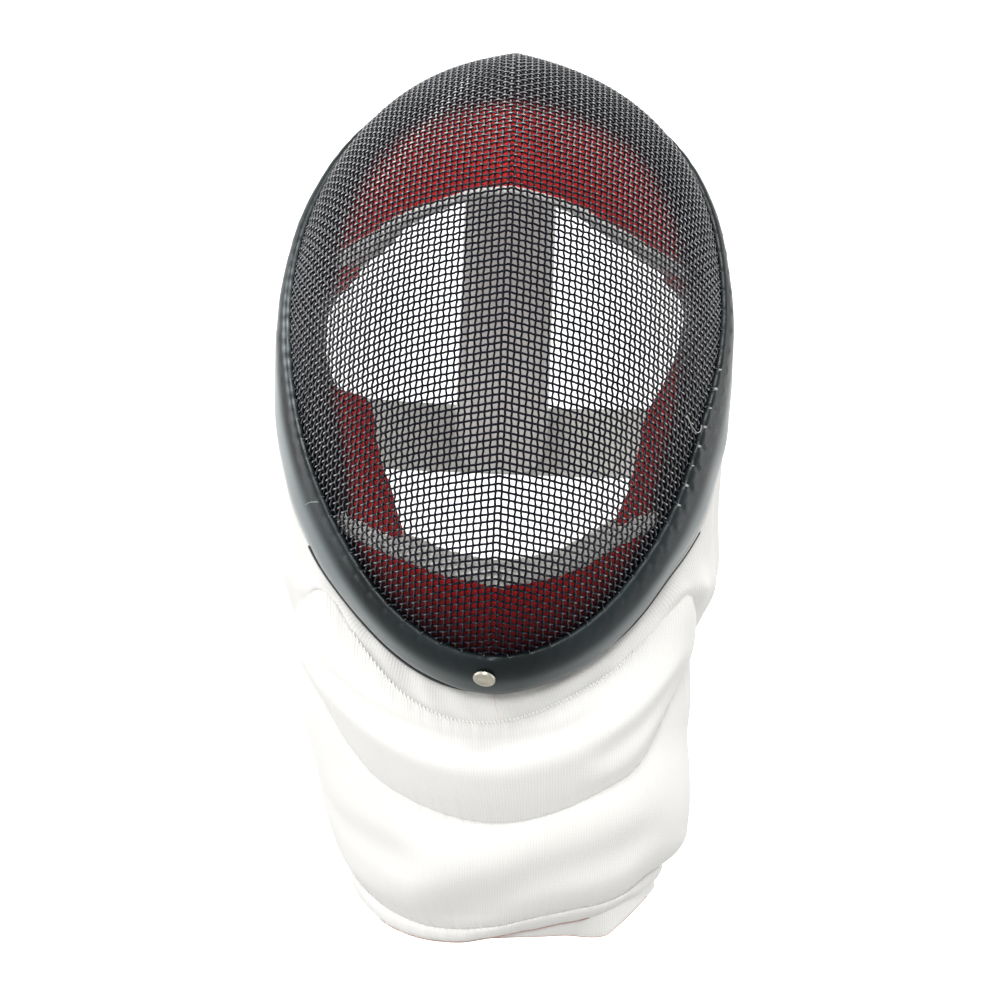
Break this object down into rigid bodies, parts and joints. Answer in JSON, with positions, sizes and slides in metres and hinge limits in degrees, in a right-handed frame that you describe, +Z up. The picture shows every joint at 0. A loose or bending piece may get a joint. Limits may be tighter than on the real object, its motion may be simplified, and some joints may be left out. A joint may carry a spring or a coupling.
{
  "type": "fencing mask",
  "caption": "Ridged bowl of black wire mesh in a soft black rim, with a red padded lining inside, a white quilted bib below the chin and a sprung tongue and strap behind.",
  "frame": {"origin": "the seat on the crown of the wearer's head, just under the forehead pad on the middle line", "axes": "+Z up, the face of the mask looks along -Y, +X is to the right of a viewer who faces it"},
  "size_m": [0.2082, 0.2479, 0.3987],
  "materials": {
    "wire_mesh": "woven steel wire, black paint worn to grey on the knuckles",
    "rim_trim": "soft satin rubber over a padded edge, stitched along its front",
    "chin_rivet": "nickel-plated, lightly dulled",
    "red_lining": "brushed red lining cloth over foam",
    "pale_binding": "pale grey woven edge binding",
    "bib_cloth": "white dense padded cloth with a fine vertical rib",
    "tongue_cover": "white cloth sewn over a sprung strip",
    "elastic_strap": "white woven elastic"
  },
  "bodies": {
    "root": {"wire_mesh": "wire_mesh", "rim_trim": "rim_trim", "chin_rivet": "chin_rivet", "forehead_pad": "red_lining", "cheek_lining": "red_lining", "forehead_piping": "pale_binding", "chin_roll": "pale_binding", "bib_collar": "bib_cloth", "bib_upper_tier": "bib_cloth", "bib_lower_tier": "bib_cloth", "bib_hem": "bib_cloth", "back_tongue": "tongue_cover", "back_strap": "elastic_strap"}
  },
  "joints": []
}
